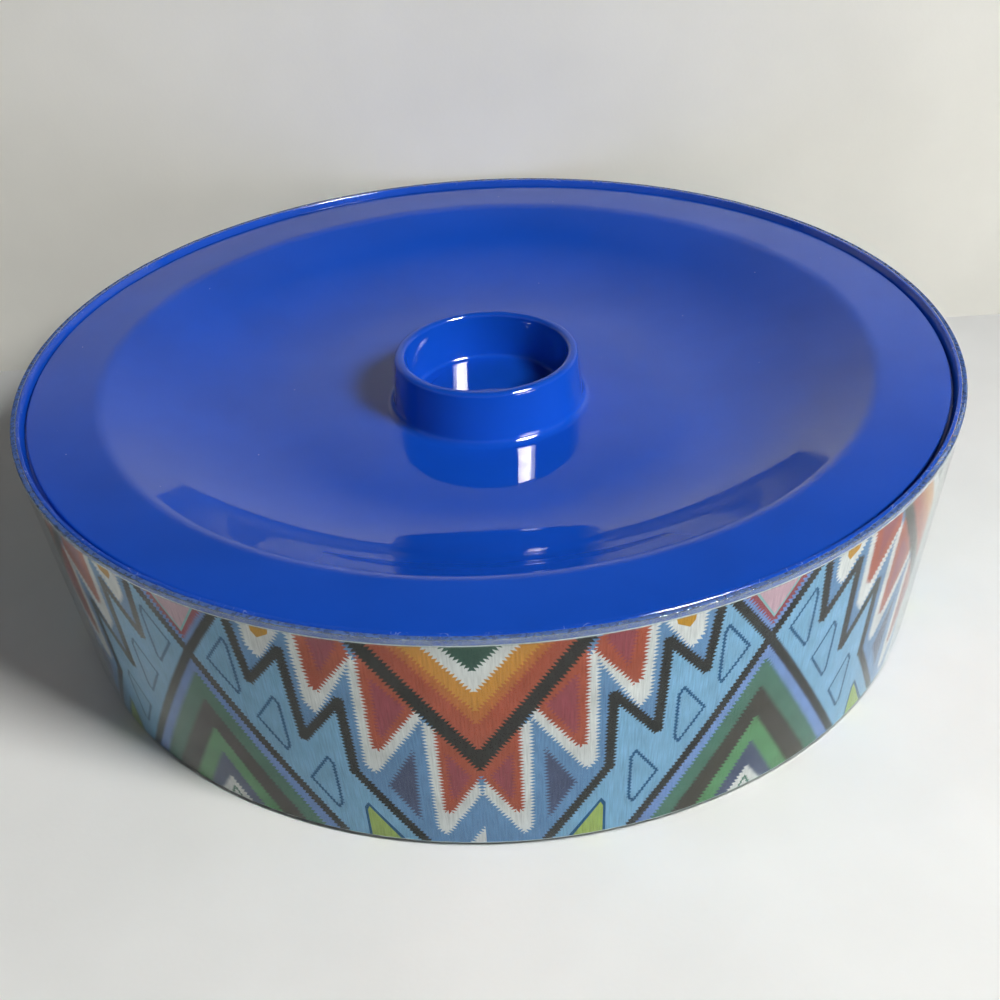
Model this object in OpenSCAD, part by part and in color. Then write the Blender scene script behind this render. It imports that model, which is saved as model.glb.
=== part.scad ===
// Round lidded keeper for a stack of flat breads: a bowl stands in a clear outer
// shell, joined to it at the rim, a printed band fills the gap between their walls,
// and a dished lid with a cup-shaped knob drops into a pocket in the bowl's rim.
// Millimetres, +Z up, origin at the centre of the face that rests on the table.
// Every piece is turned about Z, so each is one outline of [radius, height, round].

/* [Rim] */
// Outside diameter of the clear shell at its top
rim_d = 254; // [235:1:285]
// Height of the rim above the table
rim_h = 67; // [60:1:100]
// Thickness of the bowl's collar at its top, where it stands inside the shell
collar_t = 0.85; // [0.75:0.05:1.6]
// Glue line between the collar and the shell
joint_gap = 0.15; // [0.1:0.05:0.25]

/* [Bowl] */
// Thickness of the bowl's wall and floor
bowl_t = 2.2; // [1.6:0.1:3]
// Width of the ledge that carries the lid
ledge_w = 5.6; // [4:0.2:8]
// How much smaller the lid's pocket is at its ledge than at its top, in radius
pocket_draft = 1; // [0.8:0.1:1.2]
// How much smaller the bowl is at its floor than at its ledge, in radius
bowl_draft = 6; // [3:0.5:12]
// Inside round between the bowl's wall and floor
bowl_round = 14; // [8:1:18]
// Diameter of the ring under the bowl that stands on the shell's floor
bowl_foot_d = 124; // [90:1:160]
// Height of that ring, which is the air gap under the bowl
bowl_foot_h = 3; // [2:0.5:6]

/* [Clear shell] */
// How much smaller the shell is at the table than at its top, in radius
shell_taper = 6; // [3:0.2:9]
// Thickness of the shell's wall
shell_t = 1.2; // [0.9:0.1:1.5]
// Thickness of the shell's floor
shell_floor_t = 1; // [0.8:0.1:1.4]
// Width of the flat ring that the keeper stands on
foot_w = 10; // [6:0.5:16]
// How far the shell's floor is raised inside that ring
foot_step = 1.2; // [0.8:0.1:2]
// Outside round at the shell's bottom edge
shell_round = 0.8; // [0.4:0.1:1]
// Outside round at the shell's top edge
shell_top_round = 0.4; // [0.2:0.1:0.6]

/* [Printed band] */
// Thickness of the card
card_t = 0.35; // [0.3:0.05:0.5]
// Gap on each side of the card
card_gap = 0.15; // [0.1:0.05:0.2]
// How far the card's top edge lies below the rim
card_drop = 2.3; // [2:0.1:4]
// Gap between the card's top edge and the step in the collar
card_top_gap = 0.1; // [0.1:0.05:0.3]

/* [Lid] */
// Gap between the lid's edge and the collar, seen from above
lid_gap = 1.4; // [1:0.1:1.8]
// How far the lid's brim lies below the rim
lid_recess = 1.5; // [1:0.1:2.5]
// Thickness of the lid's brim where it rests on the ledge
brim_t = 1.2; // [1:0.1:1.8]
// Thickness of the rest of the lid
lid_t = 2; // [1.8:0.1:2.6]
// Width of the brim, from the lid's edge to where it turns down into the dish
brim_w = 18.4; // [16:0.2:24]
// Width of the dish's slope, seen from above
slope_w = 30; // [24:1:40]
// Depth of the dish below the brim
dish_depth = 16.5; // [12:0.5:20]
// Round between the brim and the slope
brim_round = 7; // [5:1:26]
// Round between the slope and the dish's floor
dish_round = 76; // [40:1:90]
// Depth of the ring under the lid that keeps it centred
skirt_h = 4; // [2:0.5:6]
// Thickness of that ring
skirt_t = 1.6; // [1.2:0.1:2.2]
// Gap between that ring and the bowl's wall
skirt_gap = 1; // [0.8:0.1:1.4]

/* [Knob] */
// Outside diameter of the knob's top
knob_d = 51.2; // [40:0.2:60]
// Height of the knob above the dish's floor
knob_h = 15; // [10:0.5:20]
// Thickness of the knob's wall at its top
knob_t = 2.8; // [2.2:0.1:3.6]
// How much wider the knob is at its foot than at its top, in radius
knob_draft = 1.4; // [0.6:0.1:2]
// Round between the knob's foot and the dish
knob_foot_round = 2.4; // [1:0.1:4]
// Depth of the knob's cup
cup_depth = 13.5; // [8:0.5:14]
// Round between the cup's wall and its floor
cup_round = 1.2; // [0.6:0.2:2]
// Diameter of the raised disc in the cup's floor
cup_disc_d = 34; // [26:1:36]
// Height of that disc
cup_disc_h = 0.6; // [0.4:0.1:1]

/* [Hidden] */
$fn = 180;
arc_steps = 10; // straight steps that draw one rounded corner

blue = [0.06, 0.17, 0.62];

// Clear shell, whose wall leans in from its top to the table
rim_r = rim_d / 2;
shell_base_r = rim_r - shell_taper;
foot_r = shell_base_r - foot_w;
shell_floor_z = foot_step + shell_floor_t;
shell_mouth_round = 0.15; // inside edge of the shell's top

// Lid's pocket inside the bowl's collar
pocket_r = collar_r(rim_h) - collar_t;
ledge_r = pocket_r - pocket_draft;
brim_z = rim_h - lid_recess;
ledge_z = brim_z - brim_t;
collar_round = collar_t * 0.3;

// Card's top edge under a step in the collar, and the bowl's neck inside the card
card_top_z = rim_h - card_drop;
step_z = card_top_z + card_top_gap;
neck_z = ledge_z - bowl_t;
neck_r = card_r(neck_z) - card_t - card_gap;

// Bowl
well_r = ledge_r - ledge_w;
bowl_floor_z = shell_floor_z + bowl_foot_h + bowl_t;
bowl_floor_r = well_r - bowl_draft;
bowl_foot_r = bowl_foot_d / 2;

// Lid
lid_r = pocket_r - lid_gap;
dish_r = lid_r - brim_w;
dish_floor_r = dish_r - slope_w;
dish_z = brim_z - dish_depth;
slope = atan2(dish_depth, slope_w);
slope_len = norm([dish_depth, slope_w]);
rounds_len = (brim_round + dish_round) * tan(slope / 2);
round_fit = min(1, 0.98 * slope_len / rounds_len); // the slope's two rounds meet on it at most
brim_turn = brim_round * round_fit;
dish_turn = dish_round * round_fit;
under_shift = lid_t * tan(slope / 2); // keeps the slope's two faces parallel
skirt_r = well_r - skirt_gap;
skirt_round = skirt_t * 0.3;
brim_edge_round = brim_t * 0.45;

// Knob
knob_r = knob_d / 2;
knob_top_z = dish_z + knob_h;
cup_r = knob_r - knob_t;
cup_z = knob_top_z - cup_depth;
cup_floor_r = cup_r - knob_draft;
cup_disc_r = cup_disc_d / 2;
cup_disc_round = cup_disc_h * 0.4;
knob_edge_round = knob_t * 0.45;
core_r = cup_floor_r - lid_t / 2; // hollow up inside the knob, under the cup

// Radius of the shell's outside at height z
function shell_r(z) = shell_base_r + shell_taper * z / rim_h;
// Radius of the collar's outside at height z
function collar_r(z) = shell_r(z) - shell_t - joint_gap;
// Radius of the card's outside at height z
function card_r(z) = shell_r(z) - shell_t - card_gap;

function unit(v) = v / norm(v);
function flat(p) = [p[0], p[1]];

// Points of the arc that rounds corner b, between a and c, to radius r
function arc(a, b, c, r) =
    let (
        u = unit(a - b),
        v = unit(c - b),
        half = acos(u * v) / 2,
        centre = b + unit(u + v) * r / sin(half),
        from = b + u * r / tan(half) - centre,
        to = b + v * r / tan(half) - centre,
        start = atan2(from[1], from[0]),
        turn = (atan2(to[1], to[0]) - start + 540) % 360 - 180
    )
    [for (i = [0:arc_steps]) centre + r * [cos(start + turn * i / arc_steps), sin(start + turn * i / arc_steps)]];

// An outline of [radius, height, round] corners with its rounds drawn
function rounded(corners) =
    let (n = len(corners))
    [for (i = [0:n - 1])
        let (a = corners[(i + n - 1) % n], b = corners[i], c = corners[(i + 1) % n])
        each b[2] > 0 ? arc(flat(a), flat(b), flat(c), b[2]) : [flat(b)]];

module turned(corners) {
    rotate_extrude()
        polygon(rounded(corners));
}

// Brim, dish, knob and centring ring in one moulding
module lid() {
    color(blue)
        turned([
            [0, cup_z + cup_disc_h, 0],
            [cup_disc_r, cup_z + cup_disc_h, cup_disc_round],
            [cup_disc_r + cup_disc_h, cup_z, cup_disc_round],
            [cup_floor_r, cup_z, cup_round],
            [cup_r, knob_top_z, knob_edge_round],
            [knob_r, knob_top_z, knob_edge_round],
            [knob_r + knob_draft, dish_z, knob_foot_round],
            [dish_floor_r, dish_z, dish_turn],
            [dish_r, brim_z, brim_turn],
            [lid_r, brim_z, brim_edge_round],
            [lid_r, ledge_z, brim_edge_round],
            [skirt_r, ledge_z, 0],
            [skirt_r, ledge_z - skirt_h, skirt_round],
            [skirt_r - skirt_t, ledge_z - skirt_h, skirt_round],
            [skirt_r - skirt_t, brim_z - lid_t, 0],
            [dish_r + under_shift, brim_z - lid_t, brim_turn - lid_t],
            [dish_floor_r + under_shift, dish_z - lid_t, dish_turn + lid_t],
            [core_r, dish_z - lid_t, 0],
            [core_r, cup_z - lid_t, 0],
            [0, cup_z - lid_t, 0]
        ]);
}

// Collar, lid pocket and well in one moulding
module inner_bowl() {
    color(blue)
        turned([
            [0, bowl_floor_z, 0],
            [bowl_floor_r, bowl_floor_z, bowl_round],
            [well_r, ledge_z, 0],
            [ledge_r, ledge_z, 0],
            [pocket_r, rim_h, collar_round],
            [collar_r(rim_h), rim_h, collar_round],
            [collar_r(step_z), step_z, 0],
            [neck_r, step_z, 0],
            [neck_r, neck_z, 0],
            [well_r + bowl_t, neck_z, 0],
            [bowl_floor_r + bowl_t, bowl_floor_z - bowl_t, bowl_round + bowl_t],
            [bowl_foot_r, bowl_floor_z - bowl_t, 0],
            [bowl_foot_r, shell_floor_z, 0],
            [bowl_foot_r - bowl_t, shell_floor_z, 0],
            [bowl_foot_r - bowl_t, bowl_floor_z - bowl_t, 0],
            [0, bowl_floor_z - bowl_t, 0]
        ]);
}

// Strip of printed card, closed into a ring, that stands on the shell's floor
module printed_band() {
    color("indianred")
        turned([
            [card_r(shell_floor_t), shell_floor_t, 0],
            [card_r(card_top_z), card_top_z, 0],
            [card_r(card_top_z) - card_t, card_top_z, 0],
            [card_r(shell_floor_t) - card_t, shell_floor_t, 0]
        ]);
}

// Clear cup that shows the printed band and stands on the table
module clear_shell() {
    color([0.85, 0.9, 0.95, 0.4])
        turned([
            [0, foot_step, 0],
            [foot_r, foot_step, 0],
            [foot_r, 0, 0],
            [shell_base_r, 0, shell_round],
            [rim_r, rim_h, shell_top_round],
            [rim_r - shell_t, rim_h, shell_mouth_round],
            [shell_r(shell_floor_t) - shell_t, shell_floor_t, 0],
            [foot_r + shell_floor_t, shell_floor_t, 0],
            [foot_r + shell_floor_t, shell_floor_z, 0],
            [0, shell_floor_z, 0]
        ]);
}

lid();
inner_bowl();
printed_band();
clear_shell();
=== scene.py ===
"""Looks for the round bread keeper: blue lid and bowl, printed card band, clear shell.

Every piece of the object is round about the vertical axis. Sizes are millimetres
and repeat the names of the part's source; MM turns them into metres.
The lid, the bowl and the shell are each one outline of [radius, height, round]
corners, turned by the Geometry Nodes tree "turn". The card's print is drawn flat
as half a motif, mirrored, bent onto the card's cone, and repeated by a second tree.
"""

import math
import random

import bpy
import numpy as np
from mathutils import Matrix, Vector
from mathutils.geometry import delaunay_2d_cdt


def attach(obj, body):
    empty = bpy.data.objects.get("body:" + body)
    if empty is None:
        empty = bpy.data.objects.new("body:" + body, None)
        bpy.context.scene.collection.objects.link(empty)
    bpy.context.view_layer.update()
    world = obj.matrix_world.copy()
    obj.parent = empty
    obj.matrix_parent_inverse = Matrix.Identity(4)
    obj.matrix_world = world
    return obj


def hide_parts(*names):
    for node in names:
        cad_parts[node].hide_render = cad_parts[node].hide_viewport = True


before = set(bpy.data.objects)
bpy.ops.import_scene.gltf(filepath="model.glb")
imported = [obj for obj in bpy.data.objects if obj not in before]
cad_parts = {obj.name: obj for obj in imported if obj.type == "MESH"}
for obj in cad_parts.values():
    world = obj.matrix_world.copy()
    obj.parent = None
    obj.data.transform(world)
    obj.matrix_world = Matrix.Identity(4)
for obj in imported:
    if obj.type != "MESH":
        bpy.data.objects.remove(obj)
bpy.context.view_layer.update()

MM = 0.001

# ------------------------------------------------------------------ sizes, mm

# Rim and bowl
RIM_D = 254.0
RIM_H = 67.0
COLLAR_T = 0.85
JOINT_GAP = 0.15
BOWL_T = 2.2
LEDGE_W = 5.6
POCKET_DRAFT = 1.0
BOWL_DRAFT = 6.0
BOWL_ROUND = 14.0
BOWL_FOOT_D = 124.0
BOWL_FOOT_H = 3.0

# Clear shell
SHELL_TAPER = 6.0
SHELL_T = 1.2
SHELL_FLOOR_T = 1.0
FOOT_W = 10.0
FOOT_STEP = 1.2
SHELL_ROUND = 0.8
SHELL_TOP_ROUND = 0.4
SHELL_MOUTH_ROUND = 0.15

# Card band
CARD_T = 0.35
CARD_GAP = 0.15
CARD_DROP = 2.3
CARD_TOP_GAP = 0.1

# Lid
LID_GAP = 1.4
LID_RECESS = 1.5
BRIM_T = 1.2
LID_T = 2.0
BRIM_W = 18.4
SLOPE_W = 30.0
DISH_DEPTH = 16.5
BRIM_ROUND = 7.0
DISH_ROUND = 76.0
SKIRT_H = 4.0
SKIRT_T = 1.6
SKIRT_GAP = 1.0

# Knob
KNOB_D = 51.2
KNOB_H = 15.0
KNOB_T = 2.8
KNOB_DRAFT = 1.4
KNOB_FOOT_ROUND = 2.4
CUP_DEPTH = 13.5
CUP_ROUND = 1.2
CUP_DISC_D = 34.0
CUP_DISC_H = 0.6

# Worked out from them, as in the part's source
RIM_R = RIM_D / 2
SHELL_BASE_R = RIM_R - SHELL_TAPER
FOOT_R = SHELL_BASE_R - FOOT_W
SHELL_FLOOR_Z = FOOT_STEP + SHELL_FLOOR_T


def shell_r(z):
    """Radius of the shell's outside at height z."""
    return SHELL_BASE_R + SHELL_TAPER * z / RIM_H


def collar_r(z):
    """Radius of the collar's outside at height z."""
    return shell_r(z) - SHELL_T - JOINT_GAP


def card_r(z):
    """Radius of the card's outside at height z."""
    return shell_r(z) - SHELL_T - CARD_GAP


POCKET_R = collar_r(RIM_H) - COLLAR_T
LEDGE_R = POCKET_R - POCKET_DRAFT
BRIM_Z = RIM_H - LID_RECESS
LEDGE_Z = BRIM_Z - BRIM_T
COLLAR_ROUND = COLLAR_T * 0.3
CARD_TOP_Z = RIM_H - CARD_DROP
STEP_Z = CARD_TOP_Z + CARD_TOP_GAP
NECK_Z = LEDGE_Z - BOWL_T
NECK_R = card_r(NECK_Z) - CARD_T - CARD_GAP
WELL_R = LEDGE_R - LEDGE_W
BOWL_FLOOR_Z = SHELL_FLOOR_Z + BOWL_FOOT_H + BOWL_T
BOWL_FLOOR_R = WELL_R - BOWL_DRAFT
BOWL_FOOT_R = BOWL_FOOT_D / 2
LID_R = POCKET_R - LID_GAP
DISH_R = LID_R - BRIM_W
DISH_FLOOR_R = DISH_R - SLOPE_W
DISH_Z = BRIM_Z - DISH_DEPTH
SLOPE = math.atan2(DISH_DEPTH, SLOPE_W)
ROUNDS_LEN = (BRIM_ROUND + DISH_ROUND) * math.tan(SLOPE / 2)
ROUND_FIT = min(1, 0.98 * math.hypot(DISH_DEPTH, SLOPE_W) / ROUNDS_LEN)
BRIM_TURN = BRIM_ROUND * ROUND_FIT
DISH_TURN = DISH_ROUND * ROUND_FIT
UNDER_SHIFT = LID_T * math.tan(SLOPE / 2)
SKIRT_R = WELL_R - SKIRT_GAP
SKIRT_ROUND = SKIRT_T * 0.3
BRIM_EDGE_ROUND = BRIM_T * 0.45
KNOB_R = KNOB_D / 2
KNOB_TOP_Z = DISH_Z + KNOB_H
CUP_R = KNOB_R - KNOB_T
CUP_Z = KNOB_TOP_Z - CUP_DEPTH
CUP_FLOOR_R = CUP_R - KNOB_DRAFT
CUP_DISC_R = CUP_DISC_D / 2
CUP_DISC_ROUND = CUP_DISC_H * 0.4
KNOB_EDGE_ROUND = KNOB_T * 0.45
CORE_R = CUP_FLOOR_R - LID_T / 2

# How finely curves are drawn
STEPS_ROUND = 400
ARC_TURN = math.radians(12)
ARC_STEP = 0.8
BRACE = 0.3
SHARP_EDGE = math.radians(35)

# ------------------------------------------------------------- outlines, mm


def rounded(corners):
    """Points of an open outline of (radius, height, round) corners, rounds drawn."""
    points = []
    for number, (r, z, size) in enumerate(corners):
        corner = Vector((r, z))
        if size == 0:
            points.append(corner)
            continue
        to_last = (Vector(corners[number - 1][:2]) - corner).normalized()
        to_next = (Vector(corners[number + 1][:2]) - corner).normalized()
        half = math.acos(max(-1, min(1, to_last.dot(to_next)))) / 2
        centre = corner + (to_last + to_next).normalized() * size / math.sin(half)
        start = corner + to_last * size / math.tan(half) - centre
        end = corner + to_next * size / math.tan(half) - centre
        turn = start.angle_signed(end)
        steps = math.ceil(max(abs(turn) / ARC_TURN, abs(turn) * size / ARC_STEP))
        for step in range(steps + 1):
            points.append(centre + Matrix.Rotation(-turn * step / steps, 2) @ start)
    return points


def braced(points):
    """The outline with points close to each end of its straight stretches.

    They keep smooth shading of a round from spreading over the flat beside it.
    """
    result = [points[0]]
    for start, end in zip(points, points[1:]):
        along = end - start
        if along.length > 4 * BRACE:
            result += [start + along.normalized() * BRACE, end - along.normalized() * BRACE]
        result.append(end)
    return result


LID_OUTLINE = [
    (0, CUP_Z + CUP_DISC_H, 0),
    (CUP_DISC_R, CUP_Z + CUP_DISC_H, CUP_DISC_ROUND),
    (CUP_DISC_R + CUP_DISC_H, CUP_Z, CUP_DISC_ROUND),
    (CUP_FLOOR_R, CUP_Z, CUP_ROUND),
    (CUP_R, KNOB_TOP_Z, KNOB_EDGE_ROUND),
    (KNOB_R, KNOB_TOP_Z, KNOB_EDGE_ROUND),
    (KNOB_R + KNOB_DRAFT, DISH_Z, KNOB_FOOT_ROUND),
    (DISH_FLOOR_R, DISH_Z, DISH_TURN),
    (DISH_R, BRIM_Z, BRIM_TURN),
    (LID_R, BRIM_Z, BRIM_EDGE_ROUND),
    (LID_R, LEDGE_Z, BRIM_EDGE_ROUND),
    (SKIRT_R, LEDGE_Z, 0),
    (SKIRT_R, LEDGE_Z - SKIRT_H, SKIRT_ROUND),
    (SKIRT_R - SKIRT_T, LEDGE_Z - SKIRT_H, SKIRT_ROUND),
    (SKIRT_R - SKIRT_T, BRIM_Z - LID_T, 0),
    (DISH_R + UNDER_SHIFT, BRIM_Z - LID_T, BRIM_TURN - LID_T),
    (DISH_FLOOR_R + UNDER_SHIFT, DISH_Z - LID_T, DISH_TURN + LID_T),
    (CORE_R, DISH_Z - LID_T, 0),
    (CORE_R, CUP_Z - LID_T, 0),
    (0, CUP_Z - LID_T, 0),
]

BOWL_OUTLINE = [
    (0, BOWL_FLOOR_Z, 0),
    (BOWL_FLOOR_R, BOWL_FLOOR_Z, BOWL_ROUND),
    (WELL_R, LEDGE_Z, 0),
    (LEDGE_R, LEDGE_Z, 0),
    (POCKET_R, RIM_H, COLLAR_ROUND),
    (collar_r(RIM_H), RIM_H, COLLAR_ROUND),
    (collar_r(STEP_Z), STEP_Z, 0),
    (NECK_R, STEP_Z, 0),
    (NECK_R, NECK_Z, 0),
    (WELL_R + BOWL_T, NECK_Z, 0),
    (BOWL_FLOOR_R + BOWL_T, BOWL_FLOOR_Z - BOWL_T, BOWL_ROUND + BOWL_T),
    (BOWL_FOOT_R, BOWL_FLOOR_Z - BOWL_T, 0),
    (BOWL_FOOT_R, SHELL_FLOOR_Z, 0),
    (BOWL_FOOT_R - BOWL_T, SHELL_FLOOR_Z, 0),
    (BOWL_FOOT_R - BOWL_T, BOWL_FLOOR_Z - BOWL_T, 0),
    (0, BOWL_FLOOR_Z - BOWL_T, 0),
]

SHELL_OUTLINE = [
    (0, SHELL_FLOOR_Z, 0),
    (FOOT_R + SHELL_FLOOR_T, SHELL_FLOOR_Z, 0),
    (FOOT_R + SHELL_FLOOR_T, SHELL_FLOOR_T, 0),
    (shell_r(SHELL_FLOOR_T) - SHELL_T, SHELL_FLOOR_T, 0),
    (RIM_R - SHELL_T, RIM_H, SHELL_MOUTH_ROUND),
    (RIM_R, RIM_H, SHELL_TOP_ROUND),
    (SHELL_BASE_R, 0, SHELL_ROUND),
    (FOOT_R, 0, 0),
    (FOOT_R, FOOT_STEP, 0),
    (0, FOOT_STEP, 0),
]

# ------------------------------------------------------------------- helpers


def feed(tree, node, inputs):
    """Sets inputs by name or place, or links them to a socket or to a node's first output."""
    for name, value in inputs.items():
        if isinstance(value, bpy.types.Node):
            value = value.outputs[0]
        if isinstance(value, bpy.types.NodeSocket):
            tree.links.new(value, node.inputs[name])
        else:
            node.inputs[name].default_value = value


def add_node(tree, kind, inputs=None, **settings):
    """Adds a node with its settings, and feeds its inputs."""
    node = tree.nodes.new(kind)
    for name, value in settings.items():
        setattr(node, name, value)
    feed(tree, node, inputs or {})
    return node


def from_hex(code):
    """A colour as linear light, from its sRGB hex code."""
    channels = [int(code[i : i + 2], 16) / 255 for i in (0, 2, 4)]
    return [c / 12.92 if c <= 0.04045 else ((c + 0.055) / 1.055) ** 2.4 for c in channels] + [1.0]


def evaluated(piece, tree, values):
    """Runs a Geometry Nodes tree on a piece once and leaves its result as a plain mesh."""
    modifier = piece.modifiers.new(tree.name, "NODES")
    modifier.node_group = tree
    for item in tree.interface.items_tree:
        if item.in_out == "INPUT" and item.name in values:
            modifier[item.identifier] = values[item.name]
    depsgraph = bpy.context.evaluated_depsgraph_get()
    mesh = bpy.data.meshes.new_from_object(piece.evaluated_get(depsgraph), depsgraph=depsgraph)
    piece.modifiers.remove(modifier)
    piece.data = mesh
    mesh.name = piece.name
    return piece


def tree_with(name, sockets):
    """A Geometry Nodes tree, its named inputs, and the node of its one geometry output."""
    tree = bpy.data.node_groups.new(name, "GeometryNodeTree")
    for socket, kind in sockets.items():
        tree.interface.new_socket(name=socket, in_out="INPUT", socket_type=kind)
    tree.interface.new_socket(name="Geometry", in_out="OUTPUT", socket_type="NodeSocketGeometry")
    given = tree.nodes.new("NodeGroupInput").outputs
    return tree, given, tree.nodes.new("NodeGroupOutput")


def turn_tree():
    """Turns an outline about Z.

    The outline's x is its radius less the turning radius, and its y is its depth.
    """
    tree, given, result = tree_with(
        "turn",
        {
            "Outline": "NodeSocketGeometry",
            "Steps round": "NodeSocketInt",
            "Turning radius": "NodeSocketFloat",
            "Weld": "NodeSocketFloat",
            "Finish": "NodeSocketMaterial",
        },
    )
    outline = add_node(tree, "GeometryNodeMeshToCurve", {"Mesh": given["Outline"]})
    circle = add_node(
        tree,
        "GeometryNodeCurvePrimitiveCircle",
        {"Resolution": given["Steps round"], "Radius": given["Turning radius"]},
    )
    turned = add_node(tree, "GeometryNodeCurveToMesh", {"Curve": circle, "Profile Curve": outline})
    weld = {"Geometry": turned, "Distance": given["Weld"]}
    welded = add_node(tree, "GeometryNodeMergeByDistance", weld)
    smooth = add_node(tree, "GeometryNodeSetShadeSmooth", {"Geometry": welded})
    real = add_node(tree, "GeometryNodeRealizeInstances", {"Geometry": smooth})
    finish = {"Geometry": real, "Material": given["Finish"]}
    painted = add_node(tree, "GeometryNodeSetMaterial", finish)
    feed(tree, result, {"Geometry": painted})
    return tree


def repeat_tree():
    """Repeats a tile round Z in equal turns and welds its seams."""
    tree, given, result = tree_with(
        "repeat round the axis",
        {
            "Tile": "NodeSocketGeometry",
            "Repeats": "NodeSocketInt",
            "First turn": "NodeSocketFloat",
            "Weld": "NodeSocketFloat",
            "Finish": "NodeSocketMaterial",
        },
    )
    line = {"Count": given["Repeats"], "Offset": (0, 0, 0)}
    places = add_node(tree, "GeometryNodeMeshLine", line)
    index = add_node(tree, "GeometryNodeInputIndex")
    share = add_node(tree, "ShaderNodeMath", {0: index, 1: given["Repeats"]}, operation="DIVIDE")
    turn = add_node(
        tree,
        "ShaderNodeMath",
        {0: share, 1: math.tau, 2: given["First turn"]},
        operation="MULTIPLY_ADD",
    )
    turn_about_z = add_node(tree, "ShaderNodeCombineXYZ", {"Z": turn})
    placed = add_node(
        tree,
        "GeometryNodeInstanceOnPoints",
        {"Points": places, "Instance": given["Tile"], "Rotation": turn_about_z},
    )
    real = add_node(tree, "GeometryNodeRealizeInstances", {"Geometry": placed})
    weld = {"Geometry": real, "Distance": given["Weld"]}
    welded = add_node(tree, "GeometryNodeMergeByDistance", weld)
    finish = {"Geometry": welded, "Material": given["Finish"]}
    painted = add_node(tree, "GeometryNodeSetMaterial", finish)
    feed(tree, result, {"Geometry": painted})
    return tree


WELD = 0.01 * MM
TURNING_R = 60.0
TURN = turn_tree()


def turned_piece(name, corners, finish):
    """One moulded piece, turned from its outline."""
    points = braced(rounded(corners))
    mesh = bpy.data.meshes.new(name)
    mesh.materials.append(finish)
    mesh.from_pydata(
        [((p.x - TURNING_R) * MM, -p.y * MM, 0) for p in points],
        [(i, i + 1) for i in range(len(points) - 1)],
        [],
    )
    piece = bpy.data.objects.new(name, mesh)
    bpy.context.scene.collection.objects.link(piece)
    evaluated(
        piece,
        TURN,
        {
            "Steps round": STEPS_ROUND,
            "Turning radius": TURNING_R * MM,
            "Weld": WELD,
            "Finish": finish,
        },
    )
    piece.data.set_sharp_from_angle(angle=SHARP_EDGE)
    return piece


# ----------------------------------------------------------------- materials


def principled(name):
    """A new material, its tree and its main shader."""
    material = bpy.data.materials.new(name)
    material.use_nodes = True
    tree = material.node_tree
    return material, tree, tree.nodes["Principled BSDF"]


# Places of the Mix node's sockets for colours, whose names its other sockets share
SHARE = 0
FIRST = 6
SECOND = 7
MIXED = 2


def in_millimetres(tree):
    """The surface's own place in millimetres, and its height."""
    place = add_node(tree, "ShaderNodeTexCoord").outputs["Object"]
    scaled = add_node(tree, "ShaderNodeVectorMath", {0: place, "Scale": 1 / MM}, operation="SCALE")
    return scaled, add_node(tree, "ShaderNodeSeparateXYZ", {0: scaled}).outputs["Z"]


def mottle(tree, place, spots, detail, levels=(0.0, 1.0), spread=(0.3, 0.7)):
    """Soft mottle between two levels, with about so many spots to a unit of place.

    The spread is where most of the noise's own values lie.
    """
    soft = {"Vector": place, "Scale": spots, "Detail": detail}
    noise = add_node(tree, "ShaderNodeTexNoise", soft)
    low, high = spread
    least, most = levels
    return add_node(
        tree,
        "ShaderNodeMapRange",
        {"Value": noise, "From Min": low, "From Max": high, "To Min": least, "To Max": most},
    )


def relief(tree, place, bumps, detail, height, strength):
    """Soft relief, with about so many bumps to a unit of place, and its height in metres."""
    soft = {"Vector": place, "Scale": bumps, "Detail": detail}
    noise = add_node(tree, "ShaderNodeTexNoise", soft)
    bump = {"Strength": strength, "Distance": height, "Height": noise}
    return add_node(tree, "ShaderNodeBump", bump)


def set_stops(ramp, levels):
    """Gives a colour ramp the grey stops of the given (place, level) pairs."""
    elements = ramp.color_ramp.elements
    while len(elements) < len(levels):
        elements.new(0.5)
    for element, (place, level) in zip(elements, levels):
        element.position = place
        element.color = (level, level, level, 1)


# Scratches: how many patches of them come to a millimetre, and how thin a line is
SCRATCHED_PATCHES = 0.12
SCRATCH_LINE = 0.02
PATCH_EDGE = 0.1


def scratches(tree, place, high, wide, share):
    """Fine short scratches, as thin lines where stretched noise crosses its middle.

    They are so many millimetres high and wide, in patches on a share of the surface.
    """
    shape = (1 / wide, 1 / wide, 1 / high)
    stretched = add_node(tree, "ShaderNodeVectorMath", {0: place, 1: shape}, operation="MULTIPLY")
    soft = {"Vector": stretched, "Scale": 1.0, "Detail": 1.0}
    noise = add_node(tree, "ShaderNodeTexNoise", soft)
    past = add_node(tree, "ShaderNodeMath", {0: noise, 1: 0.5}, operation="SUBTRACT")
    away = add_node(tree, "ShaderNodeMath", {0: past}, operation="ABSOLUTE")
    thin = {"Value": away, "From Max": SCRATCH_LINE, "To Min": 1.0, "To Max": 0.0}
    lines = add_node(tree, "ShaderNodeMapRange", thin)
    bare = 1 - share
    here = mottle(tree, place, SCRATCHED_PATCHES, detail=2.0, spread=(bare, bare + PATCH_EDGE))
    return add_node(tree, "ShaderNodeMath", {0: lines, 1: here}, operation="MULTIPLY")


POLYPROPYLENE_IOR = 1.5
DEEP_BLUE = "0D46B0"
PALE_BLUE = "114CBD"
# Marks of the moulding and of use, in how many come to a millimetre
FLOW_MARKS = 0.03
SMEARS = 0.09
WAVES = 0.05
NICKS = 0.11
# Roughness of the gloss where it is cleanest and most smeared
GLOSS = (0.03, 0.06)
# A nick's middle and its edge, as shares of the space between nicks, and how pale it is
NICK_MIDDLE = 0.012
NICK_EDGE = 0.02
NICK_PALENESS = 0.7
WAVE_HEIGHT = 0.12 * MM
# The worn ring of the bowl's rim, and how pale its scratches are
WORN_FROM_Z = RIM_H - 0.9
WORN_FULL_Z = RIM_H - 0.1
WEAR = 0.5


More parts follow.
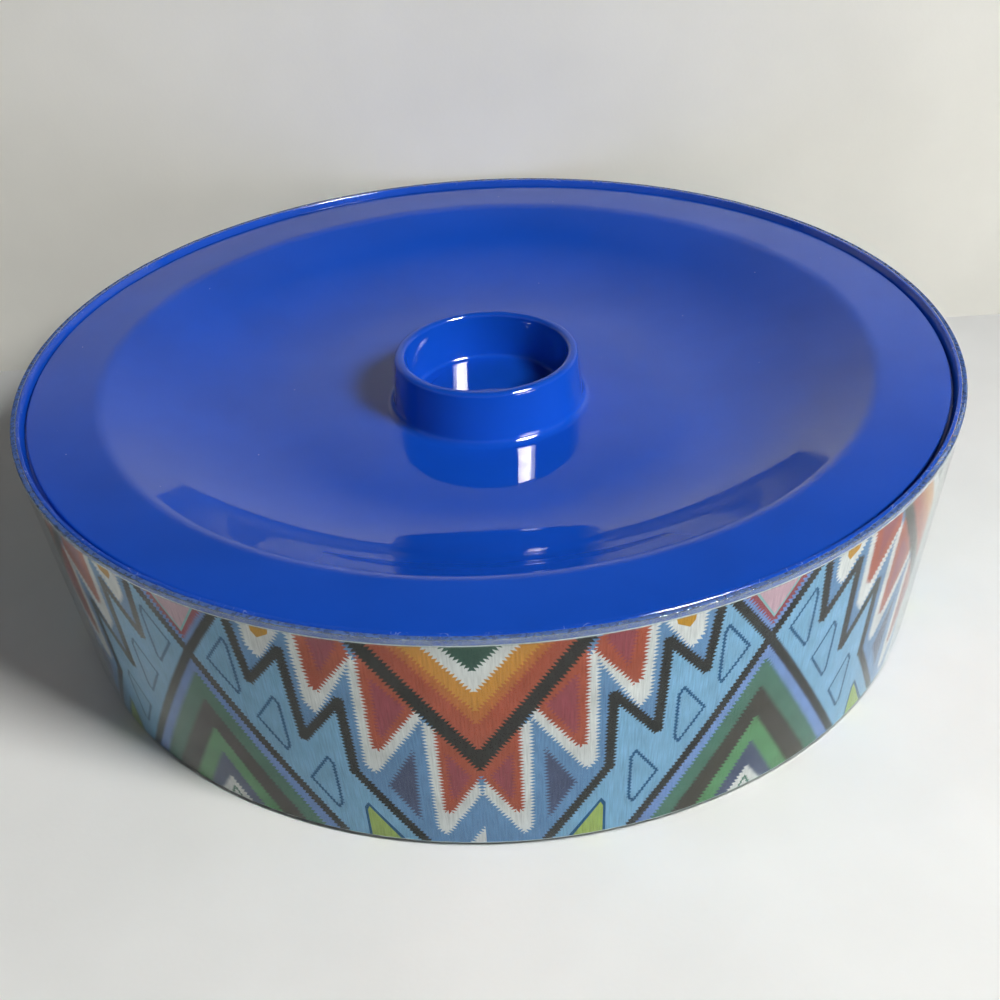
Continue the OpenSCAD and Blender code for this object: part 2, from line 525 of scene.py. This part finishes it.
def blue_plastic(name, nick, scuffed):
    """Gloss moulded polypropylene: even royal blue with soft flow marks and a few pale nicks.

    Its gloss is a little wavy and smeared. Where it is scuffed, its rim has fine scratches.
    """
    material, tree, shader = principled(name)
    place, height = in_millimetres(tree)
    flow = mottle(tree, place, FLOW_MARKS, detail=3.0)
    blues = {SHARE: flow, FIRST: from_hex(DEEP_BLUE), SECOND: from_hex(PALE_BLUE)}
    body = add_node(tree, "ShaderNodeMix", blues, data_type="RGBA").outputs[MIXED]
    cells = {"Vector": place, "Scale": NICKS}
    spots = add_node(tree, "ShaderNodeTexVoronoi", cells, feature="F1").outputs["Distance"]
    pale = {"From Min": NICK_MIDDLE, "From Max": NICK_EDGE, "To Min": NICK_PALENESS, "To Max": 0.0}
    nicks = add_node(tree, "ShaderNodeMapRange", {"Value": spots, **pale})
    if scuffed:
        ring = {"Value": height, "From Min": WORN_FROM_Z, "From Max": WORN_FULL_Z}
        edge = add_node(tree, "ShaderNodeMapRange", ring)
        marks = scratches(tree, place, high=0.6, wide=2.5, share=0.5)
        worn = add_node(tree, "ShaderNodeMath", {0: edge, 1: marks}, operation="MULTIPLY")
        wear = add_node(tree, "ShaderNodeMath", {0: worn, 1: WEAR}, operation="MULTIPLY")
        nicks = add_node(tree, "ShaderNodeMath", {0: nicks, 1: wear}, operation="MAXIMUM")
    nicked = {SHARE: nicks, FIRST: body, SECOND: from_hex(nick)}
    colour = add_node(tree, "ShaderNodeMix", nicked, data_type="RGBA").outputs[MIXED]
    smear = mottle(tree, place, SMEARS, detail=4.0, levels=GLOSS, spread=(0.3, 0.75))
    waves = relief(tree, place, WAVES, detail=1.0, height=WAVE_HEIGHT, strength=0.25)
    feed(tree, shader, {"IOR": POLYPROPYLENE_IOR, "Roughness": smear})
    feed(tree, shader, {"Base Color": colour, "Normal": waves})
    return material


MATT = 0.9
# Printed threads that come to a millimetre across and along the card, and blotches of ink
THREADS = (2.6, 0.16, 1)
BLOTCHES = 0.12
# Least and most ink of a thread and of a blotch
THREAD_INK = (0.8, 1.16)
BLOTCH_INK = (0.9, 1.08)
THREAD_HEIGHT = 0.04 * MM


def printed_card():
    """Matt printed card: the inks of the print, streaked by the upright threads it copies."""
    material, tree, shader = principled("printed_paper_card")
    ink = add_node(tree, "ShaderNodeVertexColor", layer_name="ink").outputs["Color"]
    place = add_node(tree, "ShaderNodeUVMap", uv_map="print_mm").outputs["UV"]
    threads = add_node(tree, "ShaderNodeVectorMath", {0: place, 1: THREADS}, operation="MULTIPLY")
    streak = mottle(tree, threads, 1.0, detail=2.0, levels=THREAD_INK, spread=(0.25, 0.75))
    blotch = mottle(tree, place, BLOTCHES, detail=3.0, levels=BLOTCH_INK)
    shade = add_node(tree, "ShaderNodeMath", {0: streak, 1: blotch}, operation="MULTIPLY")
    tinted = add_node(tree, "ShaderNodeVectorMath", {0: ink, "Scale": shade}, operation="SCALE")
    weave = relief(tree, threads, 1.0, detail=1.0, height=THREAD_HEIGHT, strength=0.3)
    feed(tree, shader, {"Base Color": tinted, "Normal": weave})
    feed(tree, shader, {"Roughness": MATT, "Specular IOR Level": 0.0})
    return material


POLYSTYRENE_IOR = 1.59
# Power on the shine, so that the dark inks stay dark behind the shell
LESS_SHINE = 1.6
# What the clear wall lets through to the eye, and to the card as light
CLEAR_TO_EYE = "FAFDFD"
CLEAR_TO_LIGHT = "F4F7F7"
SCUFF_GREY = "B4C2CA"
EDGE_BLUE = "5573B4"
# Heights of the haze: a scuffed ring that begins at the card, and the round of the top edge
SCUFFED_FULL_Z = CARD_TOP_Z + 0.4
FROSTED_FROM_Z = RIM_H - SHELL_TOP_ROUND
FROSTED_FULL_Z = RIM_H - 0.05
# Scuffs that come to a millimetre, and how hazy they are: the ring above the card, the top edge
SCUFFS = 0.9
SCUFF_HAZE = (0.08, 0.32)
EDGE_HAZE = (0.45, 0.75)
SCRATCH_HAZE = 0.45


def shell_haze(tree):
    """How hazy the shell is, in a scuffed ring above the card and on its frosted top edge.

    The second result is how far a place is up that edge.
    """
    place, height = in_millimetres(tree)
    ring = {"Value": height, "From Min": CARD_TOP_Z, "From Max": SCUFFED_FULL_Z}
    above_card = add_node(tree, "ShaderNodeMapRange", ring)
    worn = mottle(tree, place, SCUFFS, detail=4.0, levels=SCUFF_HAZE)
    lines = scratches(tree, place, high=0.5, wide=3.0, share=0.55)
    marks = add_node(tree, "ShaderNodeMath", {0: lines, 1: SCRATCH_HAZE}, operation="MULTIPLY")
    use = add_node(tree, "ShaderNodeMath", {0: worn, 1: marks}, operation="MAXIMUM")
    scuffed = add_node(tree, "ShaderNodeMath", {0: above_card, 1: use}, operation="MULTIPLY")
    top = {"Value": height, "From Min": FROSTED_FROM_Z, "From Max": FROSTED_FULL_Z}
    edge = add_node(tree, "ShaderNodeMapRange", top)
    scuff, frost = SCUFF_HAZE, EDGE_HAZE
    levels = {"From Min": scuff[0], "From Max": scuff[1], "To Min": frost[0], "To Max": frost[1]}
    frosty = add_node(tree, "ShaderNodeMapRange", {"Value": worn, **levels})
    frosted = add_node(tree, "ShaderNodeMath", {0: edge, 1: frosty}, operation="MULTIPLY")
    hazy = add_node(tree, "ShaderNodeMath", {0: scuffed, 1: frosted}, operation="MAXIMUM")
    return hazy, edge


def clear_plastic():
    """Clear moulded polystyrene: it bends the view of the print, and is scuffed above it.

    Its top edge is frosted, and blue from the bowl's collar that it is glued to.
    Light on its way to the card goes straight through it, so that the card stays lit.
    """
    material = bpy.data.materials.new("clear_polystyrene")
    material.use_nodes = True
    tree = material.node_tree
    tree.nodes.clear()
    fresnel = add_node(tree, "ShaderNodeFresnel", {"IOR": POLYSTYRENE_IOR})
    shine = add_node(tree, "ShaderNodeMath", {0: fresnel, 1: LESS_SHINE}, operation="POWER")
    bending = {"Color": from_hex(CLEAR_TO_EYE), "Roughness": 0.0, "IOR": POLYSTYRENE_IOR}
    bent = add_node(tree, "ShaderNodeBsdfRefraction", bending)
    gloss = add_node(tree, "ShaderNodeBsdfGlossy", {"Color": (1, 1, 1, 1), "Roughness": 0.0})
    glass = add_node(tree, "ShaderNodeMixShader", {0: shine, 1: bent, 2: gloss})
    through = add_node(tree, "ShaderNodeBsdfTransparent", {"Color": from_hex(CLEAR_TO_LIGHT)})
    ray = add_node(tree, "ShaderNodeLightPath").outputs
    rays = {0: ray["Is Shadow Ray"], 1: ray["Is Diffuse Ray"]}
    lighting = add_node(tree, "ShaderNodeMath", rays, operation="MAXIMUM")
    clear = add_node(tree, "ShaderNodeMixShader", {0: lighting, 1: glass, 2: through})
    hazy, edge = shell_haze(tree)
    hazes = {SHARE: edge, FIRST: from_hex(SCUFF_GREY), SECOND: from_hex(EDGE_BLUE)}
    milky = add_node(tree, "ShaderNodeMix", hazes, data_type="RGBA").outputs[MIXED]
    haze = add_node(tree, "ShaderNodeBsdfDiffuse", {"Color": milky})
    surface = add_node(tree, "ShaderNodeMixShader", {0: hazy, 1: clear, 2: haze})
    add_node(tree, "ShaderNodeOutputMaterial", {"Surface": surface})
    return material


# --------------------------------------------------------------- card's print

# The print is drawn as half a motif, in millimetres: across from the middle of the V,
# and down from the rim. Its depths grow by DRAWN_HEIGHT onto the slanted card, and the
# whole is raised by LIFT, because the clear shell bends the view of it.
REPEATS = 6
PRINT_TURN = math.radians(-2.98)
HALF_TURN = math.pi / REPEATS
HALF_W = 64.4
DRAWN_HEIGHT = 1.0275
LIFT = 0.7
# Depths just past the card's top and bottom edges, and the bare strip along its top
OVER = 0.0
UNDER = 68.0
BORDER = 0.25
# Length and depth of the small teeth on inner edges, and how much one tooth's depth varies
TOOTH = 1.05
TOOTH_DEPTH = 1.3
TOOTH_SHARES = (0.7, 1.15)
TEETH_SEED = 7
# Width of the card's upright strips, and how near points are taken as one or as on an edge
GRID = 4.0
SAME_POINT = 1e-5
ON_EDGE = 1e-4

INK = {
    "sky": "7FA9C9",
    "blue": "678AB2",
    "navy": "4F556F",
    "periwinkle": "738DC2",
    "white": "D9D5D2",
    "black": "363432",
    "brown": "46403A",
    "dark green": "425B50",
    "fir": "4F7363",
    "leaf": "5F8E63",
    "lime": "9EAF60",
    "orange": "CC8C42",
    "burnt orange": "BC6E40",
    "red": "AC5642",
    "maroon": "964B52",
    "yellow": "C08A30",
    "line blue": "28587E",
    "pink": "C6A1AB",
    "teal": "8CB4B4",
    "card": "D6D8D6",
}

ZIGZAG = [
    (51.0, OVER),
    (49.0, 20.0),
    (39.7, 8.5),
    (38.8, 34.5),
    (28.6, 20.8),
    (28.2, 42.8),
    (13.2, 66.4),
    (12.2, UNDER),
]
LOZENGE = [(51.7, OVER), (HALF_W, 17.6), (32.0, UNDER)]
# Widths of the bold and fine lines, and the shares of a tooth's depth on them
STROKE = 2.3
FINE_STROKE = 0.7
LINE_TEETH = 0.65
FINE_TEETH = 0.4
# How far a line's straight parts run past their ends, as a share of its width
LINE_OVERLAP = 0.3


def chevron(middle, apex, end, border):
    """A chevron's half: from its apex on a mirror line to where its edge leaves the card."""
    return [(middle, apex), (end, border), (middle, border)]


# (ink, outline, share of a tooth's depth on its edges), from the lowest layer to the topmost
FILLS = [
    ("blue", [(0, OVER), *ZIGZAG, (0, UNDER)], 0),
    ("white", [(0, 47.5), (7.4, 60), (9, 62.3), (10.9, 60), (11.3, 25), (5, 28)], 1),
    ("red", [(0, 42), (7.2, 54.5), (8.9, 54), (8.9, 24), (0, 36)], 1),
    ("maroon", [(7.1, 34.5), (7.1, 48), (6.2, 50), (2.2, 42)], 1),
    ("white", [(11.3, 24), (21.9, 41), (23.5, 42.6), (25.4, 40), (25.2, 6), (13, 18)], 1),
    ("red", [(12.6, 22), (21, 34.5), (22, 35), (23.1, 34), (23.1, 4), (13, 16)], 1),
    ("maroon", [(20.9, 13), (21.2, 29.5), (20.4, 31), (14.4, 20.8)], 1),
    ("white", [(24.4, 9), (32.9, 24), (34.4, 26), (36.6, 23), (37.3, OVER), (26, OVER)], 1),
    ("red", [(24.2, 7), (32.9, 19), (34.6, 17.4), (35.4, OVER), (26, OVER)], 1),
    ("maroon", [(26.6, OVER), (26.8, 5), (31.4, 13), (33.4, OVER)], 1),
    ("white", [(38.2, OVER), (39, 4), (43.9, 11.5), (45.4, 12), (47.4, 9), (47.8, OVER)], 1),
    ("yellow", [(40.0, OVER), (41.2, 4.6), (43.9, 6.2), (45.0, 4.6), (45.3, OVER)], 0),
    ("black", chevron(0, 40.5, 26.9, OVER), 1),
    ("red", chevron(0, 33.6, 22.7, OVER), 1),
    ("burnt orange", chevron(0, 25.6, 18.6, OVER), 1),
    ("orange", chevron(0, 21.8, 16.5, OVER), 1),
    ("white", chevron(0, 16.2, 11.8, OVER), 1),
    ("dark green", chevron(0, 10.2, 8.6, OVER), 1),
    ("navy", [(14.0, 34), (20.8, 46.2), (14.6, 57.5)], 1),
    ("line blue", [(26.6, 53.2), (27.7, 55), (27.9, UNDER), (17.0, UNDER)], 0),
    ("lime", [(26.5, 54.6), (27.1, 56), (27.2, UNDER), (18.2, UNDER)], 0),
    ("periwinkle", [(HALF_W, 17.6), (32, UNDER), (HALF_W, UNDER)], 0),
    ("fir", chevron(HALF_W, 23.5, 37.0, UNDER), 1),
    ("brown", chevron(HALF_W, 32.0, 42.2, UNDER), 1),
    ("leaf", chevron(HALF_W, 41.5, 48.9, UNDER), 1),
    ("navy", chevron(HALF_W, 49.5, 54.0, UNDER), 1),
    ("white", chevron(HALF_W, 58.0, 57.6, UNDER), 1),
    ("periwinkle", chevron(HALF_W, 17.6, 51.7, OVER), 0),
    ("maroon", chevron(HALF_W, 13.6, 54.4, OVER), 1),
    ("teal", chevron(HALF_W, 11.8, 56.6, OVER), 0),
    ("pink", chevron(HALF_W, 10.9, 57.3, OVER), 0),
]

FRAMES = [
    [(53.2, 9.3), (59, 17.4), (53.2, 25.6), (52.4, 24), (52.4, 11), (53.2, 9.3)],
    [(44.2, 23.7), (49.6, 31.6), (44.1, 40.2), (43.1, 38.6), (43.1, 25.4), (44.2, 23.7)],
    [(34.2, 39.8), (39.5, 48), (34.2, 56.5), (33.1, 55), (33.1, 41.6), (34.2, 39.8)],
]

# Lines over the fills: (ink, points, width, share of a tooth's depth)
LINES = [
    ("black", ZIGZAG, STROKE, LINE_TEETH),
    ("black", LOZENGE, STROKE, LINE_TEETH),
    *(("line blue", frame_line, FINE_STROKE, FINE_TEETH) for frame_line in FRAMES),
    ("fir", [(HALF_W, 62), (61.4, UNDER)], FINE_STROKE, FINE_TEETH),
]

# A small mark that is only on the left of the V
LEFT_MARK = ("white", [(0, 59.3), (0, UNDER), (5.2, UNDER)], 1)


def on_border(start, end):
    """True for an edge along the drawing's own border, which has no teeth."""
    same_side = start[0] == end[0] and start[0] in (0, HALF_W)
    return same_side or (start[1] == end[1] and start[1] in (OVER, UNDER))


def toothed(points, depth, chance):
    """The outline with the stepped edge of a weave: small teeth across every inner edge."""
    result = []
    for start, end in zip(points, points[1:] + points[:1]):
        result.append(start)
        if on_border(start, end):
            continue
        along = Vector(end) - Vector(start)
        across = Vector((-along.y, along.x)).normalized()
        count = round(along.length / TOOTH)
        for place in range(2 * count):
            side = 1 if place % 2 else -1
            tooth = side * depth / 2 * chance.uniform(*TOOTH_SHARES)
            point = Vector(start) + along * (place + 0.5) / (2 * count) + across * tooth
            result.append(tuple(point))
    return result


def stroke(points, width):
    """A line of some width, as one four-sided outline for each of its straight parts."""
    parts = []
    for start, end in zip(points, points[1:]):
        along = (Vector(end) - Vector(start)).normalized()
        across = Vector((-along.y, along.x)) * width / 2
        over = along * width * LINE_OVERLAP
        first, last = Vector(start) - over, Vector(end) + over
        corners = (first - across, last - across, last + across, first + across)
        parts.append([tuple(corner) for corner in corners])
    return parts


def card_height(down):
    """Height on the card of a drawn depth below the rim."""
    return RIM_H + LIFT - DRAWN_HEIGHT * down


def inside(points, outline):
    """For each point, whether the outline goes round it."""
    across, up = points.T
    within = np.zeros(len(points), bool)
    for (x, y), (next_x, next_y) in zip(outline, outline[1:] + outline[:1]):
        crossed = (y > up) != (next_y > up)
        rise = (next_y - y) or 1
        within ^= crossed & (across < x + (up - y) * (next_x - x) / rise)
    return within


def layers():
    """Every (ink, outline, on the left only) of half a motif, from the lowest to the topmost."""
    chance = random.Random(TEETH_SEED)
    top = CARD_TOP_Z
    card = [(0, SHELL_FLOOR_T), (HALF_W, SHELL_FLOOR_T), (HALF_W, top), (0, top)]
    result = [("sky", card, False)]

    def add(ink, outline, teeth, left_only=False):
        drawn = toothed(outline, TOOTH_DEPTH * teeth, chance) if teeth else outline
        result.append((ink, [(across, card_height(down)) for across, down in drawn], left_only))

    for ink, outline, teeth in FILLS:
        add(ink, outline, teeth)
    for ink, points, width, teeth in LINES:
        for part in stroke(points, width):
            add(ink, part, teeth)
    add(*LEFT_MARK, left_only=True)
    border = [(0, top - BORDER), (HALF_W, top - BORDER), (HALF_W, top), (0, top)]
    result.append(("card", border, False))
    return result


def zipped(row, other):
    """Triangles between two rows of (place, vertex) that run the same way."""
    faces = []
    i = j = 0
    while i < len(row) - 1 or j < len(other) - 1:
        if j == len(other) - 1 or (i < len(row) - 1 and row[i + 1][0] <= other[j + 1][0]):
            faces.append((row[i][1], row[i + 1][1], other[j][1]))
            i += 1
        else:
            faces.append((row[i][1], other[j + 1][1], other[j][1]))
            j += 1
    return faces


def half_motif():
    """Flat points of half a motif, and its triangles with their ink right and left."""
    drawn = layers()
    points, edges = [], []
    for _, outline, _ in drawn:
        first = len(points)
        points += [Vector(p) for p in outline]
        edges += [(first + i, first + (i + 1) % len(outline)) for i in range(len(outline))]
    columns = round(HALF_W / GRID)
    for column in range(1, columns):
        across = HALF_W * column / columns
        edges.append((len(points), len(points) + 1))
        points += [Vector((across, SHELL_FLOOR_T)), Vector((across, CARD_TOP_Z))]
    flat, _, triangles, _, _, _ = delaunay_2d_cdt(points, edges, [], 0, SAME_POINT, False)
    middles = np.array([[sum(flat[i][axis] for i in t) / 3 for axis in (0, 1)] for t in triangles])
    on_card = inside(middles, drawn[0][1])
    right = np.full(len(triangles), drawn[0][0], object)
    left = right.copy()
    for ink, outline, left_only in drawn[1:]:
        within = inside(middles, outline)
        left[within] = ink
        if not left_only:
            right[within] = ink
    kept = [(t, right[i], left[i]) for i, t in enumerate(triangles) if on_card[i]]
    return flat, kept


def card_tile():
    """One whole motif of the card as an open slab bent onto the card's cone."""
    flat, kept = half_motif()
    vertices, faces, inks, places = [], [], [], []
    bottom, top = SHELL_FLOOR_T, CARD_TOP_Z

    def vertex(across, height, side, inset):
        turn = side * across / HALF_W * HALF_TURN
        r = (card_r(height) - inset) * MM
        vertices.append((r * math.sin(turn), -r * math.cos(turn), height * MM))
        places.append((across, height))
        return len(vertices) - 1

    def face(corners, ink, side):
        faces.append(corners if side > 0 else corners[::-1])
        inks.append(from_hex(INK[ink]))

    for side in (1, -1):
        used = sorted({i for corners, _, _ in kept for i in corners})
        number = {i: vertex(flat[i].x, flat[i].y, side, 0) for i in used}
        for corners, right_ink, left_ink in kept:
            face([number[i] for i in corners], right_ink if side > 0 else left_ink, side)
        rows = []
        for height in (bottom, top):
            at_edge = [i for i in used if abs(flat[i].y - height) < ON_EDGE]
            outer = sorted((flat[i].x, number[i]) for i in at_edge)
            inner = [(across, vertex(across, height, side, CARD_T)) for across, _ in outer]
            rows.append(inner)
            for a, b, c, d in zip(outer, outer[1:], inner[1:], inner):
                corners = [a[1], b[1], c[1], d[1]]
                face(corners if height == top else corners[::-1], "card", side)
        for corners in zipped(*rows):
            face(list(corners[::-1]), "card", side)
    mesh = bpy.data.meshes.new("printed_card_band")
    mesh.from_pydata(vertices, [], faces)
    colours = mesh.color_attributes.new("ink", "FLOAT_COLOR", "CORNER")
    print_mm = mesh.uv_layers.new(name="print_mm")
    for polygon, ink in zip(mesh.polygons, inks):
        for corner in polygon.loop_indices:
            colours.data[corner].color = ink
            print_mm.data[corner].uv = places[mesh.loops[corner].vertex_index]
    return mesh


def printed_band(finish):
    """The whole card: its motif repeated round the axis."""
    tile = card_tile()
    tile.materials.append(finish)
    piece = bpy.data.objects.new("printed_card_band", tile)
    bpy.context.scene.collection.objects.link(piece)
    evaluated(
        piece,
        repeat_tree(),
        {"Repeats": REPEATS, "First turn": PRINT_TURN, "Weld": WELD, "Finish": finish},
    )
    return piece


# -------------------------------------------------------------------- pieces

lid_blue = blue_plastic("lid_moulded_polypropylene", nick="9FB2DC", scuffed=False)
bowl_blue = blue_plastic("bowl_moulded_polypropylene", nick="A9BCE4", scuffed=True)
lid = turned_piece("dished_lid", LID_OUTLINE, lid_blue)
bowl = turned_piece("bread_bowl", BOWL_OUTLINE, bowl_blue)
shell = turned_piece("clear_outer_shell", SHELL_OUTLINE, clear_plastic())
band = printed_band(printed_card())

for piece, cad_node, body, slot in (
    (lid, "lid", "lid", "lid_plastic"),
    (bowl, "inner_bowl", "keeper", "bowl_plastic"),
    (band, "printed_band", "keeper", "printed_card"),
    (shell, "clear_shell", "keeper", "clear_plastic"),
):
    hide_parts(cad_node)
    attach(piece, body)

# --------------------------------------------------------------- surroundings

FLOOR_SIDE = 8.0
WALL_SIDE = 3.0
WALL_Y = 0.1285
WALL_HEIGHT = 1.2
# The plain backdrop, and the distances in mm between which the paper passes into it
BACKDROP = (0.8, 0.8, 0.8, 1)
FADE_FROM = 260
FADE_TO = 440
DEEPEST_PAPER = "E9E9E5"
PALEST_PAPER = "F0F0EC"
# Mottle and fibres of the paper that come to a millimetre
PAPER_MOTTLE = 0.02
PAPER_FIBRES = 0.8
FIBRE_HEIGHT = 0.2 * MM
# Painted shade on the wall, in the gloss only, by height in mm: pale low down, darker above for a
# dim room
PAINTED_WALL_SHADE = (
    (0, 0.86),
    (95, 0.86),
    (130, 0.75),
    (160, 0.52),
    (190, 0.32),
    (225, 0.17),
    (270, 0.08),
    (330, 0.04),
)
# What the camera sees of it is a little warm
WALL_TO_CAMERA = (0.872, 0.858, 0.815, 1)


def white_paper(name, shaded):
    """White paper with a faint tooth, which passes into the plain backdrop far from the object.

    In the gloss, the wall has painted shade that darkens it with height, for the dim room above
    it, and it is open from behind.
    """
    material, tree, shader = principled(name)
    place, height = in_millimetres(tree)
    seen = add_node(tree, "ShaderNodeLightPath").outputs["Is Camera Ray"]
    spots = mottle(tree, place, PAPER_MOTTLE, detail=4.0)
    papers = {SHARE: spots, FIRST: from_hex(DEEPEST_PAPER), SECOND: from_hex(PALEST_PAPER)}
    tint = add_node(tree, "ShaderNodeMix", papers, data_type="RGBA").outputs[MIXED]
    if shaded:
        # Painted shade: in the gloss the wall darkens with height; the camera sees it in an even
        # warm tint
        top = PAINTED_WALL_SHADE[-1][0]
        share_up = add_node(tree, "ShaderNodeMath", {0: height, 1: top}, operation="DIVIDE")
        by_height = add_node(tree, "ShaderNodeValToRGB", {"Fac": share_up})
        set_stops(by_height, [(z / top, level) for z, level in PAINTED_WALL_SHADE])
        shades = {SHARE: seen, FIRST: by_height, SECOND: WALL_TO_CAMERA}
        shade = add_node(tree, "ShaderNodeMix", shades, data_type="RGBA").outputs[MIXED]
        tint = add_node(tree, "ShaderNodeVectorMath", {0: tint, 1: shade}, operation="MULTIPLY")
    tooth = relief(tree, place, PAPER_FIBRES, detail=3.0, height=FIBRE_HEIGHT, strength=0.15)
    feed(tree, shader, {"Base Color": tint, "Normal": tooth})
    feed(tree, shader, {"Roughness": MATT, "Specular IOR Level": 0.0})
    away = add_node(tree, "ShaderNodeVectorMath", {0: place}, operation="LENGTH").outputs["Value"]
    passing = {"Value": away, "From Min": FADE_FROM, "From Max": FADE_TO}
    passed = add_node(tree, "ShaderNodeMapRange", passing)
    faded = add_node(tree, "ShaderNodeMath", {0: seen, 1: passed}, operation="MULTIPLY")
    plain = add_node(tree, "ShaderNodeEmission", {"Color": BACKDROP})
    # Only the camera sees it, so it is no lamp
    material.cycles.emission_sampling = "NONE"
    surface = add_node(tree, "ShaderNodeMixShader", {0: faded, 1: shader, 2: plain})
    if shaded:
        behind = add_node(tree, "ShaderNodeNewGeometry").outputs["Backfacing"]
        clear = add_node(tree, "ShaderNodeBsdfTransparent")
        surface = add_node(tree, "ShaderNodeMixShader", {0: behind, 1: surface, 2: clear})
    feed(tree, tree.nodes["Material Output"], {"Surface": surface})
    return material


def sheet_of_paper(name, corners, shaded):
    """A flat stage piece of white paper."""
    mesh = bpy.data.meshes.new(name)
    mesh.from_pydata(corners, [], [(0, 1, 2, 3)])
    mesh.materials.append(white_paper(name, shaded))
    paper = bpy.data.objects.new(name, mesh)
    bpy.context.scene.collection.objects.link(paper)
    return paper


def paper_floor_and_wall():
    """The sheet that the object stands on, and the sheet that stands close behind it."""
    far, side = FLOOR_SIDE / 2, WALL_SIDE / 2
    floor = [(-far, -far, 0), (far, -far, 0), (far, far, 0), (-far, far, 0)]
    sheet_of_paper("paper_floor", floor, False)
    foot = [(-side, WALL_Y, 0), (side, WALL_Y, 0)]
    head = [(side, WALL_Y, WALL_HEIGHT), (-side, WALL_Y, WALL_HEIGHT)]
    wall = sheet_of_paper("paper_wall", foot + head, True)
    wall.visible_diffuse = False
    wall.visible_shadow = False


def from_object(azimuth, elevation, distance):
    """A place round the object, in degrees right of the front and above the table."""
    a, e = math.radians(azimuth), math.radians(elevation)
    towards = Vector((math.sin(a) * math.cos(e), -math.cos(a) * math.cos(e), math.sin(e)))
    return towards * distance


def lamp(name, place, aim, side, energy, spread):
    """A square area lamp: side in metres, energy in watts, beam in degrees."""
    light = bpy.data.lights.new(name, "AREA")
    light.size = side
    light.energy = energy
    light.spread = math.radians(spread)
    holder = bpy.data.objects.new(name, light)
    holder.location = place
    holder.rotation_mode = "QUATERNION"
    holder.rotation_quaternion = (aim - place).to_track_quat("-Z", "Y")
    bpy.context.scene.collection.objects.link(holder)
    return holder


# How bright the room is by elevation in degrees: pale walls low down, dark overhead
ROOM_LIGHT = (
    (0, 0.30),
    (15, 0.28),
    (25, 0.22),
    (35, 0.14),
    (45, 0.07),
    (55, 0.03),
    (65, 0.02),
)


def room():
    """The room's light, seen in the gloss; the camera itself sees a plain pale backdrop."""
    world = bpy.data.worlds.new("room")
    bpy.context.scene.world = world
    world.use_nodes = True
    tree = world.node_tree
    tree.nodes.clear()
    place = add_node(tree, "ShaderNodeTexCoord").outputs["Generated"]
    up = add_node(tree, "ShaderNodeSeparateXYZ", {0: place}).outputs["Z"]
    by_height = add_node(tree, "ShaderNodeValToRGB", {"Fac": up})
    set_stops(by_height, [(math.sin(math.radians(e)), level) for e, level in ROOM_LIGHT])
    lit = add_node(tree, "ShaderNodeBackground", {"Color": by_height})
    plain = add_node(tree, "ShaderNodeBackground", {"Color": BACKDROP})
    seen = add_node(tree, "ShaderNodeLightPath").outputs["Is Camera Ray"]
    both = add_node(tree, "ShaderNodeMixShader", {0: seen, 1: lit, 2: plain})
    add_node(tree, "ShaderNodeOutputWorld", {"Surface": both})


# Camera, from the fit to the rim and the base: place in mm, then turns in radians
CAMERA_PLACE = (0.0, -312.3, 225.7)
CAMERA_PITCH = 0.5980
CAMERA_PAN = 0.0051
CAMERA_ROLL = 0.0547
CAMERA_LENS = 45.07


def camera():
    """The photograph's viewpoint."""
    holder = bpy.data.objects.new("camera", bpy.data.cameras.new("camera"))
    holder.data.lens = CAMERA_LENS
    ahead = Vector((
        math.sin(CAMERA_PAN) * math.cos(CAMERA_PITCH),
        math.cos(CAMERA_PAN) * math.cos(CAMERA_PITCH),
        -math.sin(CAMERA_PITCH),
    ))
    right = Vector((math.cos(CAMERA_PAN), -math.sin(CAMERA_PAN), 0))
    up = right.cross(ahead)
    cos, sin = math.cos(CAMERA_ROLL), math.sin(CAMERA_ROLL)
    axes = Matrix((right * cos - up * sin, right * sin + up * cos, -ahead)).transposed()
    holder.matrix_world = Matrix.Translation(Vector(CAMERA_PLACE) * MM) @ axes.to_4x4()
    bpy.context.scene.collection.objects.link(holder)
    bpy.context.scene.camera = holder


# What the lamps aim at
MIDDLE = Vector((0, 0, 0))
IN_FRONT = Vector((0, -0.15, 0))
# Two lamps seen in the gloss alone: name, azimuth, side, energy
GLINTS = (("window_glint", 43, 0.2, 38.0), ("side_glint", 104, 0.045, 0.5))
GLINT_ELEVATION = 43
GLINT_DISTANCE = 0.88

paper_floor_and_wall()
room()
lamp("key_lamp", from_object(49, 41, 1.15), IN_FRONT, side=0.27, energy=6.9, spread=130)
for name, azimuth, side, energy in GLINTS:
    place = from_object(azimuth, GLINT_ELEVATION, GLINT_DISTANCE)
    lamp(name, place, MIDDLE, side, energy, spread=180).visible_diffuse = False
fill = lamp("back_fill", from_object(195, 13, 1.4), MIDDLE, side=0.8, energy=0.4, spread=60)
fill.visible_glossy = False
camera()
bpy.context.scene.view_settings.view_transform = "Standard"
